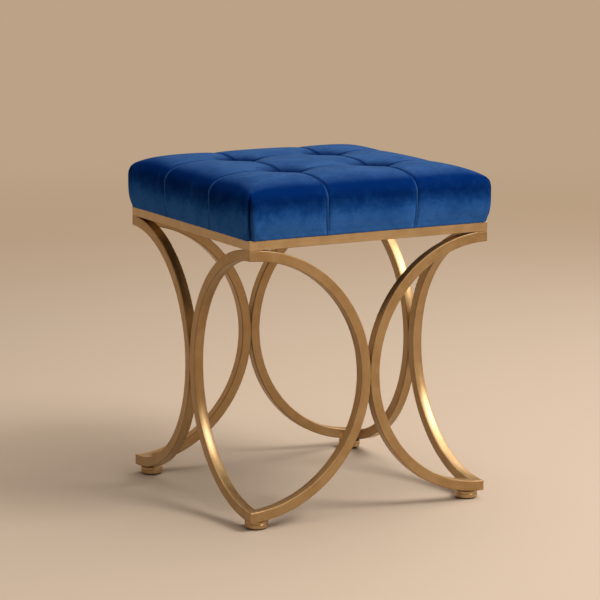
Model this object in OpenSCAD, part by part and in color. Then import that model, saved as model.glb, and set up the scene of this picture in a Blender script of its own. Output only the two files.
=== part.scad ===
// Square accent stool: eight half-ring legs of square tube under a tufted velvet seat.
// The origin is on the floor under the centre of the seat, +Z up, the front at -Y.

/* [Base frame] */
// Outside width and depth of the frame, which is also the diameter of the half rings
frame_w = 400; // [360:1:440]
// Side of the square tube that the half rings are bent from
tube = 16; // [12:0.5:20]
// Height of the seat rails
rail_h = 15; // [13:0.5:22]
// Wall of the tubes
wall = 1.2; // [1:0.1:1.8]
// Radius along the outer edges of the tubes
tube_edge_r = 1.5; // [0.6:0.1:2]
// Length of the flat where a half ring is welded to a rail or to the next ring
weld_flat = 14; // [8:1:18]
// Thickness of the corner brackets that the seat is bolted to
bracket_t = 3; // [2:0.5:5]
// Length of a bracket's sides along the rails
bracket_side = 58; // [46:1:80]
// Thickness of the tapped tabs that the glides screw into
tab_t = 4; // [3:0.5:6]
// Length of a tab's sides along the tubes
tab_side = 19; // [15:0.5:26]

/* [Glides] */
// Height of the frame above the floor with the glides screwed in
glide_h = 13; // [11:0.5:20]
// Radius of a glide's base
glide_r = 17.2; // [16.6:0.1:20]
// Radius of a glide's floor pad
pad_r = 14.6; // [10:0.1:15.3]
// Height of the floor pad that stands out under the base
pad_out = 1.6; // [1:0.1:3]
// Depth that the floor pad is set into the base
pad_in = 1.6; // [1:0.1:2]
// Radius of the glide's threaded stem
stem_r = 3; // [2.5:0.5:4]
// Radius of the stem's head inside the base
stem_head_r = 5; // [4.5:0.1:7]
// Height of the stem's head
stem_head_h = 3; // [2:0.5:4]
// Distance that a glide can be screwed out
glide_travel = 6; // [3:0.5:10]

/* [Seat] */
// Distance that the cushion stands out past the rails on each side
cushion_over = 8; // [3:0.5:24]
// Height of the cushion from the rails to the top of its crown
cushion_h = 84; // [78:1:100]
// Height of the crown and its rounded edge above the side panels
crown_h = 33; // [28:1:36]
// Radius of the cushion's upright corners
corner_r = 10; // [8:1:26]
// Distance that the side panels are drawn in at the rails
tuck_in = 7; // [4:0.5:9]
// Distance that the side panels are drawn in between the corners
side_draw = 3; // [0:0.5:4]
// Distance from the middle to the sewn seams
seam_x = 75; // [60:1:90]
// Depth of the sewn seams on the top
seam_depth = 3; // [2:0.5:6]
// Depth of the sewn seams on the sides
side_seam_depth = 1.5; // [0.5:0.5:4]
// Further depth of the tufts where seams cross
tuft_depth = 14; // [8:0.5:15]
// Radius of the pit around a tuft
tuft_pit_r = 30; // [16:1:36]
// Thickness of the plywood seat board
board_t = 12; // [9:1:18]
// Distance from the cushion's widest side in to the seat board
side_wad = 14; // [11.5:0.5:24]
// Thickness of the foam core
foam_t = 44; // [34:1:48]
// Distance that the foam core stops short of the board's edge
foam_inset = 1; // [0:0.5:12]
// Thickness of the cover's hem under the board
hem_t = 1.2; // [0.8:0.1:2]
// Width of the hem under the board
hem_w = 34; // [20:1:50]
// Thickness of the dust cover
dust_t = 0.4; // [0.3:0.1:1]

/* [Seat fixings] */
// Radius of the seat bolts' thread
bolt_r = 3; // [2.5:0.5:4]
// Distance from the inside of the rails to each seat bolt
bolt_inset = 18; // [14:0.5:24]
// Height of a seat bolt's head
bolt_head_h = 4; // [3:0.5:6]
// Radius of a seat bolt's head
bolt_head_r = 5.5; // [5:0.1:7]
// Radius of the washers under the bolts
washer_r = 8; // [7.5:0.5:10]
// Thickness of the washers under the bolts
washer_t = 1.6; // [1:0.1:2.5]
// Radius of the tee nuts' flanges
tee_flange_r = 9; // [8:0.5:11]
// Thickness of the tee nuts' flanges
tee_flange_t = 1.5; // [1:0.1:2]
// Radius of the tee nuts' barrels
tee_barrel_r = 4; // [3.8:0.1:5.5]
// Radius of the tufting twine
twine_r = 1; // [0.6:0.1:1.5]
// Radius of the washers that hold the twine under the board
tuft_washer_r = 9; // [7:0.5:14]
// Thickness of the washers that hold the twine
tuft_washer_t = 1; // [0.6:0.1:1.1]

/* [Hidden] */
$fn = 96;
// Running clearance of a turning or sliding fit, on the radius
fit = 0.05;
// Gap that keeps soft and curved pieces clear of their neighbours
clear = 0.3;
// Overlap that lets a cut run past a face
cut = 1;

half = frame_w / 2;
inner = half - tube;
ring_r = half + weld_flat * weld_flat / (2 * half);
ring_z = glide_h + half;
rail_z = glide_h + frame_w;
seat_z = rail_z + rail_h;

bracket_z = seat_z - bracket_t;
bolt_at = inner - bolt_inset;
// Share of a corner plate's side that its two square noses take
plate_nose = 0.2;

// The stem stands just clear of both tubes in the inner corner.
glide_at = inner - stem_r - clear;
base_top = glide_h - clear;
base_low = pad_out;
base_edge_r = 1;
foot_edge_r = 1.8;
// Groove round the base: radius of its section, and its place as a share of the base's height
groove_r = 0.8;
groove_share = 0.62;
pad_top = pad_out + pad_in;
head_low = pad_top + clear;
head_top = head_low + stem_head_h;
stem_spare = 1.5;
stem_top = glide_h + tab_t + glide_travel + stem_spare;
stem_chamfer = 0.6;

cushion_w = frame_w + 2 * cushion_over;
board_w = cushion_w - 2 * side_wad;
foam_w = board_w - 2 * foam_inset;
cover_low = seat_z + clear;
board_z = cover_low + hem_t;
foam_z = board_z + board_t;
foam_top = foam_z + foam_t;
crown_z = seat_z + cushion_h;
shoulder_z = crown_z - crown_h;
board_corner_r = 12;
dust_margin = 2;
dust_w = 2 * (inner - dust_margin);
dust_z = seat_z - dust_t + clear / 2;
dust_corner = (1 + plate_nose) * bracket_side;

tee_hole_r = tee_barrel_r + fit;
tee_barrel_l = 9;
bolt_hole_r = bolt_r + 0.5;
bolt_top = foam_z - fit;
bolt_socket_r = 2;
bolt_socket_h = 2;
twine_hole_r = twine_r + clear;
knot_r = 1.8 * twine_r;

// Rounding of the crown towards the cushion's edges
crown_power = 8;
// Width of the soft fall towards a seam, and of the tight crease in it
seam_soft_w = 19;
seam_crease_w = 5;
// Cells across each of the three puffs
puff_cells = 8;

// The side panel from the crown's edge to the rails: drawn-in distance and height above the hem
side_h = shoulder_z - cover_low;
shoulder_in = 1.2;
tuck_power = 5;
side_profile = [
    for (k = [0.80, 0.55, 0.30, 0.14, 0.05, 0])
        [tuck_in * pow(1 - k, tuck_power) + shoulder_in * pow(k, 4), cover_low + side_h * k]
];

CORNERS = [
    ["front", "left", -1, -1],
    ["front", "right", 1, -1],
    ["back", "left", -1, 1],
    ["back", "right", 1, 1]
];
SIDES = ["front", "right", "back", "left"];
quarter_turn = 90;

function corner_name(what, c) = str(what, "_", c[0], "_", c[1]);
function side_arc_name(c) = str("arc_", c[1], "_", c[0]);

// Every corner piece is drawn at the front left corner and mirrored to its own.
module at_corner(c) {
    mirror([c[2] > 0 ? 1 : 0, 0, 0])
        mirror([0, c[3] > 0 ? 1 : 0, 0])
            children();
}

// A rounded rectangle about the origin, whose corners stay true arcs
module rounded_outline(w, h, r) {
    square([w - 2 * r, h], center = true);
    square([w, h - 2 * r], center = true);
    for (x = [-1, 1], y = [-1, 1])
        translate([x * (w / 2 - r), y * (h / 2 - r)]) circle(r);
}

module tube_section(w, h) {
    difference() {
        rounded_outline(w, h, tube_edge_r);
        square([w - 2 * wall, h - 2 * wall], center = true);
    }
}

// Plan outline of a member along the front that is mitred at its left end
module mitred_plan(right_long, right_short) {
    polygon([[-half, -half], [right_long, -half], [right_short, -inner], [-inner, -inner]]);
}

module rail(turn) {
    color("#b98d55")
        rotate([0, 0, turn])
            intersection() {
                translate([0, 0, rail_z])
                    linear_extrude(rail_h) mitred_plan(half, inner);
                translate([-half, tube / 2 - half, rail_z + rail_h / 2])
                    rotate([90, 0, 90])
                        linear_extrude(frame_w) tube_section(tube, rail_h);
            }
}

// Half ring in the front face: the plan cuts mitre its ends and give it its welding flats.
module arc() {
    intersection() {
        translate([0, 0, glide_h])
            linear_extrude(frame_w) mitred_plan(0, 0);
        translate([-half, tube / 2 - half, ring_z])
            rotate([90, 0, 0])
                difference() {
                    rotate_extrude() ring_at() rounded_outline(tube, tube, tube_edge_r);
                    rotate_extrude() ring_at() square(tube - 2 * wall, center = true);
                }
    }
}

module ring_at() {
    translate([ring_r - tube / 2, 0]) children();
}

module arc_along_front(c) {
    color("#b98d55") at_corner(c) arc();
}

module arc_along_side(c) {
    color("#b98d55") at_corner(c) mirror([1, -1, 0]) arc();
}

// Plan outline of a plate that fills the inner corner of the frame
module corner_plate(side) {
    nose = plate_nose * side;
    translate([-inner, -inner])
        polygon([[0, 0], [side, 0], [side, nose], [nose, side], [0, side]]);
}

module seat_bracket() {
    color("#a87f4b")
        difference() {
            translate([0, 0, bracket_z]) linear_extrude(bracket_t) corner_plate(bracket_side);
            translate([-bolt_at, -bolt_at, bracket_z - cut])
                cylinder(r = bolt_hole_r, h = bracket_t + 2 * cut);
        }
}

module foot_tab() {
    color("#a87f4b")
        difference() {
            translate([0, 0, glide_h]) linear_extrude(tab_t) corner_plate(tab_side);
            translate([-glide_at, -glide_at, glide_h - cut])
                cylinder(r = stem_r + fit, h = tab_t + 2 * cut);
        }
}

// Threaded stem, with a round head that the base is held by
module glide_stem() {
    color("silver")
        translate([-glide_at, -glide_at, 0])
            rotate_extrude()
                polygon([
                    [0, head_low],
                    [stem_head_r, head_low],
                    [stem_head_r, head_top],
                    [stem_r, head_top],
                    [stem_r, stem_top - stem_chamfer],
                    [stem_r - stem_chamfer, stem_top],
                    [0, stem_top]
                ]);
}

// Turned base: a collar and a disc with rounded edges, parted by a groove
module glide_base_profile() {
    base_h = base_top - base_low;
    difference() {
        union() {
            translate([0, base_low]) square([glide_r - foot_edge_r, base_h]);
            translate([0, base_low + foot_edge_r])
                square([glide_r, base_h - foot_edge_r - base_edge_r]);
            translate([0, base_low + foot_edge_r])
                square([glide_r - base_edge_r, base_h - foot_edge_r]);
            translate([glide_r - foot_edge_r, base_low + foot_edge_r]) circle(foot_edge_r);
            translate([glide_r - base_edge_r, base_top - base_edge_r]) circle(base_edge_r);
        }
        translate([glide_r, base_low + groove_share * base_h]) circle(groove_r);
        translate([0, base_low - cut]) square([pad_r + fit, pad_in + cut]);
        square([stem_head_r + clear, head_top]);
        square([stem_r + fit, base_top + cut]);
    }
}

module glide_base() {
    color("#b98d55")
        translate([-glide_at, -glide_at, 0]) rotate_extrude() glide_base_profile();
}

module glide_pad() {
    edge = 0.6;
    color("#3a2c1c")
        translate([-glide_at, -glide_at, 0])
            rotate_extrude()
                polygon([
                    [0, 0],
                    [pad_r - edge, 0],
                    [pad_r, edge],
                    [pad_r, pad_top],
                    [0, pad_top]
                ]);
}

module at_tufts() {
    for (x = [-1, 1], y = [-1, 1])
        translate([x * seam_x, y * seam_x, 0]) children();
}

module at_bolts() {
    for (x = [-1, 1], y = [-1, 1])
        translate([x * bolt_at, y * bolt_at, 0]) children();
}

module board_blank() {
    translate([0, 0, board_z])
        linear_extrude(board_t) rounded_outline(board_w, board_w, board_corner_r);
}

module foam_blank() {
    translate([0, 0, foam_z])
        linear_extrude(foam_t) rounded_outline(foam_w, foam_w, board_corner_r);
}

module tuft_holes(low, high) {
    at_tufts()
        translate([0, 0, low - cut]) cylinder(r = twine_hole_r, h = high - low + 2 * cut);
}

module seat_board() {
    color("burlywood")
        difference() {
            board_blank();
            tuft_holes(board_z, foam_z);
            at_bolts() {
                translate([0, 0, board_z - cut]) cylinder(r = tee_hole_r, h = board_t + 2 * cut);
                translate([0, 0, foam_z - tee_flange_t])
                    cylinder(r = tee_flange_r + fit, h = tee_flange_t + cut);
            }
        }
}

module foam_core() {
    color("lightyellow")
        difference() {
            foam_blank();
            tuft_holes(foam_z, foam_top);
        }
}

// Positions across the three puffs of the top, closer together at the seams and the edges
puff_ends = [-cushion_w / 2, -seam_x, seam_x, cushion_w / 2];
top_steps = 3 * puff_cells;
top_at = [
    for (i = [0 : top_steps])
        let (
            p = min(floor(i / puff_cells), 2),
            a = 180 * (i - p * puff_cells) / puff_cells,
            mid = (puff_ends[p] + puff_ends[p + 1]) / 2,
            reach = (puff_ends[p + 1] - puff_ends[p]) / 2
        )
        mid - reach * cos(a)
];

// 1 on a seam, falling away on both sides of it
function seam_fall(d) = 0.6 * exp(-abs(d) / seam_soft_w) + 0.4 * exp(-pow(d / seam_crease_w, 2));
function to_seam(v) = abs(abs(v) - seam_x);
function edge_round(v) = sqrt(max(0, 1 - pow(abs(v) / (cushion_w / 2), crown_power)));
// A soft least of two roundings, which keeps the corners of the crown full
function both_round(a, b) = a * b == 0 ? 0 : pow(pow(a, -4) + pow(b, -4) - 1, -0.25);

function crown_at(x, y) =
    let (
        edges = both_round(edge_round(x), edge_round(y)),
        seams = max(seam_fall(to_seam(x)), seam_fall(to_seam(y))),
        off_tuft = norm([to_seam(x), to_seam(y)]),
        pit = exp(-pow(off_tuft / tuft_pit_r, 2))
    )
    shoulder_z + edges * (crown_h - seam_depth * seams - tuft_depth * pit);

// Draws a point of a square of half width w onto the same square with rounded corners
function rounded_point(x, y, w, r) =
    let (
        core = w - r,
        cx = max(-core, min(core, x)),
        cy = max(-core, min(core, y)),
        dx = x - cx,
        dy = y - cy,
        off = norm([dx, dy]),
        k = off > 0 ? max(abs(dx), abs(dy)) / off : 1
    )
    [cx + dx * k, cy + dy * k];

// How far a side panel is drawn in at the distance v along it
function side_pull(v) =
    let (along = abs(v) / (cushion_w / 2))
    side_draw * (1 - pow(along, 4)) + side_seam_depth * seam_fall(to_seam(v));

top_points = [
    for (y = top_at, x = top_at)
        let (
            w = cushion_w / 2,
            on_x_edge = pow(abs(x) / w, crown_power),
            on_y_edge = pow(abs(y) / w, crown_power),
            q = rounded_point(x, y, w, corner_r)
        )
        [
            q[0] - sign(x) * on_x_edge * side_pull(y),
            q[1] - sign(y) * on_y_edge * side_pull(x),
            crown_at(x, y)
        ]
];

// The edge of the top, taken once round, anticlockwise from the front left corner
top_edge = concat(
    [for (i = [0 : top_steps - 1]) [i, 0]],
    [for (i = [0 : top_steps - 1]) [top_steps, i]],
    [for (i = [0 : top_steps - 1]) [top_steps - i, top_steps]],
    [for (i = [0 : top_steps - 1]) [0, top_steps - i]]
);
edge_count = len(top_edge);

side_points = [
    for (ring = side_profile, e = top_edge)
        let (
            w = cushion_w / 2,
            x = top_at[e[0]],
            y = top_at[e[1]],
            on_side = abs(x) >= w ? 1 : 0,
            on_front = abs(y) >= w ? 1 : 0,
            k = (w - ring[0]) / w,
            q = rounded_point(x * k, y * k, w * k, corner_r),
            low = (ring[1] - cover_low) / side_h,
            fade = 0.5 + 0.5 * min(1, 3 * low)
        )
        [
            q[0] - sign(x) * on_side * (1 - on_front) * fade * side_pull(y),
            q[1] - sign(y) * on_front * (1 - on_side) * fade * side_pull(x),
            ring[1]
        ]
];

top_count = len(top_points);
side_rings = len(side_profile);
middle_low = top_count + edge_count * side_rings;

function top_index(e) = e[1] * (top_steps + 1) + e[0];
function ring_index(ring, i) =
    ring < 0 ? top_index(top_edge[i % edge_count]) : top_count + ring * edge_count + i % edge_count;

top_faces = [
    for (j = [0 : top_steps - 1], i = [0 : top_steps - 1], t = [0, 1])
        let (
            a = top_index([i, j]),
            b = top_index([i + 1, j]),
            c = top_index([i + 1, j + 1]),
            d = top_index([i, j + 1]),
            rising = (i < top_steps / 2) == (j < top_steps / 2)
        )
        rising ? (t == 0 ? [a, c, b] : [a, d, c]) : (t == 0 ? [a, d, b] : [b, d, c])
];

side_faces = [
    for (r = [-1 : side_rings - 2], i = [0 : edge_count - 1], t = [0, 1])
        let (
            a = ring_index(r, i),
            b = ring_index(r, i + 1),
            c = ring_index(r + 1, i + 1),
            d = ring_index(r + 1, i)
        )
        t == 0 ? [a, b, c] : [a, c, d]
];

low_faces = [
    for (i = [0 : edge_count - 1])
        [middle_low, ring_index(side_rings - 1, i), ring_index(side_rings - 1, i + 1)]
];

module cushion_form() {
    polyhedron(
        points = concat(top_points, side_points, [[0, 0, cover_low]]),
        faces = concat(top_faces, side_faces, low_faces)
    );
}

// Velvet quilted to its wadding: crowned, drawn in, seamed and tufted, with a hem under the board
module velvet_cover() {
    hem_open = board_w - 2 * hem_w;
    color("#1b4489")
        difference() {
            cushion_form();
            board_blank();
            foam_blank();
            translate([-hem_open / 2, -hem_open / 2, cover_low - cut])
                cube([hem_open, hem_open, hem_t + cut + clear]);
            tuft_holes(foam_top, crown_z);
            at_bolts()
                translate([0, 0, cover_low - cut]) cylinder(r = bolt_hole_r, h = hem_t + cut + clear);
        }
}

module dust_cover() {
    w = dust_w / 2;
    c = w - dust_corner;
    color("#1a1a1c")
        translate([0, 0, dust_z])
            linear_extrude(dust_t)
                polygon([
                    [-c, -w], [c, -w], [w, -c], [w, c],
                    [c, w], [-c, w], [-w, c], [-w, -c]
                ]);
}

// Twine through foam and board, with a knot at the bottom of each tuft
module tuft_ties() {
    low_z = dust_z + dust_t + clear / 2;
    knot_z = crown_z - seam_depth - tuft_depth + knot_r + 2 * clear;
    color("#16366e")
        at_tufts() {
            translate([0, 0, low_z]) cylinder(r = twine_r, h = knot_z - low_z);
            translate([0, 0, knot_z]) sphere(knot_r);
        }
}

module tuft_washers() {
    color("silver")
        at_tufts()
            translate([0, 0, board_z - tuft_washer_t])
                difference() {
                    cylinder(r = tuft_washer_r, h = tuft_washer_t);
                    translate([0, 0, -cut]) cylinder(r = twine_r + fit, h = tuft_washer_t + 2 * cut);
                }
}

module seat_bolts() {
    head_z = bracket_z - washer_t - bolt_head_h;
    color("dimgray")
        at_bolts()
            translate([0, 0, head_z])
                difference() {
                    union() {
                        cylinder(r = bolt_head_r, h = bolt_head_h);
                        cylinder(r = bolt_r, h = bolt_top - head_z);
                    }
                    translate([0, 0, -cut])
                        cylinder(r = bolt_socket_r, h = bolt_socket_h + cut, $fn = 6);
                }
}

module bolt_washers() {
    color("silver")
        at_bolts()
            translate([0, 0, bracket_z - washer_t])
                difference() {
                    cylinder(r = washer_r, h = washer_t);
                    translate([0, 0, -cut]) cylinder(r = bolt_hole_r, h = washer_t + 2 * cut);
                }
}

module tee_nuts() {
    color("silver")
        at_bolts()
            difference() {
                union() {
                    translate([0, 0, foam_z - tee_flange_t]) cylinder(r = tee_flange_r, h = tee_flange_t);
                    translate([0, 0, foam_z - tee_barrel_l]) cylinder(r = tee_barrel_r, h = tee_barrel_l);
                }
                translate([0, 0, board_z]) cylinder(r = bolt_r + fit, h = board_t + cut);
            }
}

for (k = [0 : 3])
    rail(quarter_turn * k);
for (c = CORNERS) {
    arc_along_front(c);
    arc_along_side(c);
    at_corner(c) seat_bracket();
    at_corner(c) foot_tab();
    at_corner(c) glide_stem();
    at_corner(c) glide_base();
    at_corner(c) glide_pad();
}
seat_board();
foam_core();
velvet_cover();
dust_cover();
tuft_ties();
tuft_washers();
seat_bolts();
bolt_washers();
tee_nuts();
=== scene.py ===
import math

import bmesh
import bpy
import numpy as np
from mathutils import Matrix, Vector


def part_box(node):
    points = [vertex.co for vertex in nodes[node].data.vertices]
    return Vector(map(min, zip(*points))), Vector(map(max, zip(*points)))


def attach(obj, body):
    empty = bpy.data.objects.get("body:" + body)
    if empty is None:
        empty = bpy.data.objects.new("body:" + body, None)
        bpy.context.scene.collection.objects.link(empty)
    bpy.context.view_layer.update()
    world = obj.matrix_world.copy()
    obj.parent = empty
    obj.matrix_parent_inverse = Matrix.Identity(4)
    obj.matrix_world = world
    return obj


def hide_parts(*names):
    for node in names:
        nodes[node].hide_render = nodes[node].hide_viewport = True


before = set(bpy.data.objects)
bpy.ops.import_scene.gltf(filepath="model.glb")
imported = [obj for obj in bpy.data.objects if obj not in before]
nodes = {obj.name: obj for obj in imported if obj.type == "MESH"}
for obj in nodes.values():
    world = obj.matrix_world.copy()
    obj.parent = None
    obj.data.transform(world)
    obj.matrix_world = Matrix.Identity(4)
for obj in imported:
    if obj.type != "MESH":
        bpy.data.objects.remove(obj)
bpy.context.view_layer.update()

# Square accent stool: tufted velvet seat on a satin gold frame. Metres, in the CAD frame.
STOOL = "stool"
CORNERS = [(a, b) for a in ("front", "back") for b in ("left", "right")]
SIDES = ["front", "right", "back", "left"]

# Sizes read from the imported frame
rail_low, rail_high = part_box("rail_front")
HALF = rail_high.x
SEAT_Z = rail_high.z
TUBE = rail_high.y - rail_low.y
RAIL_MID_Z = (rail_low.z + rail_high.z) / 2
RAIL_H = rail_high.z - rail_low.z
arc_low, arc_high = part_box("arc_front_left")
RING_MID_Z = (arc_low.z + arc_high.z) / 2
glide_low, glide_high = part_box("glide_base_front_right")
GLIDE_AT = (glide_low.x + glide_high.x) / 2
GLIDE_R = (glide_high.x - glide_low.x) / 2
BOARD_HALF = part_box("seat_board")[1].x
foam_low, foam_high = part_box("foam_core")
TUFT_WASHER_R = 0.009
SEAM_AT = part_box("tuft_washers")[1].x - TUFT_WASHER_R

# Each half ring is part of a ring that stands off from the corner by its short welding flat
WELD_FLAT = 0.014
RING_R = HALF + WELD_FLAT**2 / (2 * HALF)

# The cushion's form, as in its solid
COVER_OVER = 0.008
CUSHION_H = 0.084
CROWN_H = 0.033
COVER_GAP = 0.0003
CORNER_R = 0.010
TUCK_IN = 0.007
TUCK_POWER = 5
SIDE_DRAW = 0.003
SIDE_DRAW_POWER = 4
SEAM_DEPTH = 0.003
SIDE_SEAM_DEPTH = 0.0015
TUFT_DEPTH = 0.014
TUFT_PIT_R = 0.030
SEAM_SOFT_W = 0.019
SEAM_SOFT_SHARE = 0.6
SEAM_CREASE_W = 0.005
CROWN_POWER = 8
CROWN_JOIN_POWER = 4.0
HEM_W = 0.034
HEM_T = 0.0012

W = HALF + COVER_OVER
COVER_LOW = SEAT_Z + COVER_GAP
CROWN_TOP = SEAT_Z + CUSHION_H
SHOULDER_Z = CROWN_TOP - CROWN_H
SIDE_H = SHOULDER_Z - COVER_LOW

# The twine pulls each tuft a little deeper than the solid shows
TUFT_PULL = 0.007
TUFT_PULL_R = 0.013
TUFT_FLOOR_Z = CROWN_TOP - SEAM_DEPTH - TUFT_DEPTH - TUFT_PULL


def placed(name, data):
    """A new object with the data, linked to the scene."""
    obj = bpy.data.objects.new(name, data)
    bpy.context.scene.collection.objects.link(obj)
    return obj


class Graph:
    """A material's node tree, with short calls for the nodes used here."""

    def __init__(self, name, viewport_colour):
        self.material = bpy.data.materials.new(name)
        self.material.use_nodes = True
        self.material.diffuse_color = (*viewport_colour, 1)
        self.tree = self.material.node_tree
        self.tree.nodes.clear()
        self.output = self.node("OutputMaterial")
        self.shader = self.node("BsdfPrincipled")
        self.tree.links.new(self.shader.outputs[0], self.output.inputs["Surface"])
        self.place = self.node("TexCoord").outputs["Object"]

    def node(self, kind, *values, **settings):
        """A new node, with its settings, and the values or links for its first inputs."""
        node = self.tree.nodes.new("ShaderNode" + kind)
        for name, setting in settings.items():
            setattr(node, name, setting)
        for value, socket in zip(values, node.inputs):
            self.put(value, socket)
        return node

    def put(self, value, socket):
        if isinstance(value, bpy.types.NodeSocket):
            self.tree.links.new(value, socket)
        else:
            socket.default_value = value

    def fill(self, node, **values):
        """Values or links for a node's inputs by name, with _ for a space; gives its outputs."""
        for name, value in values.items():
            self.put(value, node.inputs[name.replace("_", " ")])
        return node.outputs

    def set(self, **values):
        self.fill(self.shader, **values)

    def math(self, operation, a, b=0.0):
        return self.node("Math", a, b, operation=operation).outputs[0]

    def weighed(self, a, share_a, b, share_b):
        """The sum of two values, each times its share."""
        return self.math("ADD", self.math("MULTIPLY", a, share_a), self.math("MULTIPLY", b, share_b))

    def distance(self, a, b):
        """How far a point is from an axis, from its two offsets."""
        return self.math("SQRT", self.math("ADD", self.math("POWER", a, 2), self.math("POWER", b, 2)))

    def span(self, value, low, high, to_low=0.0, to_high=1.0):
        """Smooth step of value from low to high, onto to_low to to_high."""
        ends = (low, high, to_low, to_high)
        return self.node("MapRange", value, *ends, interpolation_type="SMOOTHSTEP").outputs[0]

    def axes(self):
        return self.node("SeparateXYZ", self.place).outputs

    def scaled_point(self, values, factors):
        """A point whose coordinates are the values, each times its factor."""
        scaled = [self.math("MULTIPLY", value, factor) for value, factor in zip(values, factors)]
        return self.node("CombineXYZ", *scaled).outputs[0]

    def stretched(self, x, y, z):
        return self.node("VectorMath", self.place, (x, y, z), operation="MULTIPLY").outputs[0]

    def noise(self, where, scale, detail=3.0, roughness=0.55, distortion=0.0):
        form = dict(Scale=scale, Detail=detail, Roughness=roughness, Distortion=distortion)
        return self.fill(self.node("TexNoise"), Vector=where, **form)["Fac"]

    def mix(self, share, a, b):
        node = self.node("Mix", data_type="RGBA")
        self.put(share, node.inputs["Factor"])
        for value, socket in ((a, node.inputs[6]), (b, node.inputs[7])):
            self.put(value if isinstance(value, bpy.types.NodeSocket) else (*value, 1), socket)
        return node.outputs[2]

    def attribute(self, name):
        return self.node("Attribute", attribute_name=name).outputs["Fac"]

    def bump(self, height, distance, strength=1.0, under=None):
        node = self.node("Bump")
        self.fill(node, Strength=strength, Distance=distance, Height=height)
        if under is not None:
            self.put(under, node.inputs["Normal"])
        return node.outputs[0]


# Linear colours of the gold on the rails; of its darker, browner copy for the half rings, plates, welds and
# glides, which is painted shade on the one finish; and on rubbed edges
GOLD = (0.58, 0.42, 0.235)
GOLD_DEEP = (0.51, 0.355, 0.185)
GOLD_SHADED = (0.46, 0.31, 0.150)
GOLD_SHADED_DEEP = (0.39, 0.245, 0.105)
GOLD_WORN = (0.70, 0.53, 0.33)
SHADED_GOLD_TONES = (GOLD_SHADED_DEEP, GOLD_SHADED)

# Roughness of the gold
RAIL_ROUGH = 0.37
BENT_ROUGH = 0.42
WELD_ROUGH = 0.44
GLIDE_ROUGH = 0.34
ROUGH_SPREAD = 0.05
EDGE_ROUGHER = 0.34
EDGE_WORN = 0.10


def gold_finish(g, streak_place, edge, tones=(GOLD_DEEP, GOLD), rough=RAIL_ROUGH, form=None):
    """Brushed satin gold: streaks along the tube, soft mottling, and paler, duller rubbed edges."""
    mottle = g.noise(g.place, 38, 4, 0.6)
    streaks = g.noise(streak_place, 1, 3, 0.6)
    grain = g.noise(g.place, 2600, 2, 0.5)
    tone = g.span(g.weighed(mottle, 0.6, streaks, 0.4), 0.38, 0.62)
    rub = g.math("MULTIPLY", edge, g.span(g.noise(g.place, 55, 3), 0.42, 0.66))
    colour = g.mix(tone, *tones)
    g.set(Base_Color=g.mix(g.math("MULTIPLY", rub, EDGE_WORN), colour, GOLD_WORN))
    uneven = g.weighed(streaks, 0.5, mottle, 0.5)
    rough = g.span(uneven, 0.3, 0.7, rough - ROUGH_SPREAD, rough + ROUGH_SPREAD)
    g.set(Metallic=1.0, Roughness=g.math("ADD", rough, g.math("MULTIPLY", edge, EDGE_ROUGHER)))
    g.set(Coat_Weight=0.35, Coat_Roughness=0.32)
    fine = g.bump(grain, 0.00001, 0.3, form)
    g.set(Normal=g.bump(streaks, 0.00005, 0.6, fine))
    return g.material


# An edge is rubbed fully within the first distance of it, and no more beyond the second
RUBBED_W = 0.0009
RUBBED_END = 0.0022


def edge_of(g, u, v, half_u, half_v):
    """1 along the edges of a tube whose section runs to half_u and half_v, else 0."""
    near_u = g.math("SUBTRACT", half_u, g.math("ABSOLUTE", u))
    near_v = g.math("SUBTRACT", half_v, g.math("ABSOLUTE", v))
    return g.span(g.math("MAXIMUM", near_u, near_v), RUBBED_W, RUBBED_END, 1.0, 0.0)


# How far bending draws in the inner and outer walls of a tube
DRAWN_IN = 0.0012

# Streaks to the metre along and across a straight tube, and to the radian along a bent one
STREAKS_ALONG = 14
STREAKS_ACROSS = 900
STREAKS_TURN = 2.8


def gold_tube(name, kind, swap):
    """Gold for tubes along X, or along Y with swap; arcs are streaked round their ring's centre."""
    g = Graph(name, GOLD)
    x, y, z = g.axes()
    if swap:
        x, y = y, x
    across = g.math("SUBTRACT", g.math("ABSOLUTE", y), HALF - TUBE / 2)
    if kind == "rail":
        up = g.math("SUBTRACT", z, RAIL_MID_Z)
        streak_place = g.scaled_point((x, across, up), (STREAKS_ALONG, STREAKS_ACROSS, STREAKS_ACROSS))
        return gold_finish(g, streak_place, edge_of(g, across, up, TUBE / 2, RAIL_H / 2))
    out = g.math("SUBTRACT", g.math("ABSOLUTE", x), HALF)
    up = g.math("SUBTRACT", z, RING_MID_Z)
    radius = g.distance(out, up)
    turn = g.math("ARCTAN2", up, out)
    depth = g.math("SUBTRACT", radius, RING_R - TUBE / 2)
    streak_place = g.scaled_point((turn, across, depth), (STREAKS_TURN, STREAKS_ACROSS, STREAKS_ACROSS))
    hollow = g.bump(g.math("POWER", g.math("DIVIDE", across, TUBE / 2), 2), DRAWN_IN)
    edge = edge_of(g, across, depth, TUBE / 2, TUBE / 2)
    # The half rings get the gold's darker copy: painted shade.
    return gold_finish(g, streak_place, edge, SHADED_GOLD_TONES, BENT_ROUGH, hollow)


def gold_plate(name, rough):
    """Gold without a direction, for plates and welds."""
    g = Graph(name, GOLD)
    # Plates and welds get the gold's darker copy: painted shade.
    return gold_finish(g, g.stretched(60, 60, 60), 0.0, SHADED_GOLD_TONES, rough)


# Turning marks to the metre of a glide's radius and height, and to the radian round it
TURNED_MARKS = 1500
TURNED_ROUND = 0.8
RIM_RUBBED_W = 0.0006
RIM_RUBBED_END = 0.0016


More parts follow.
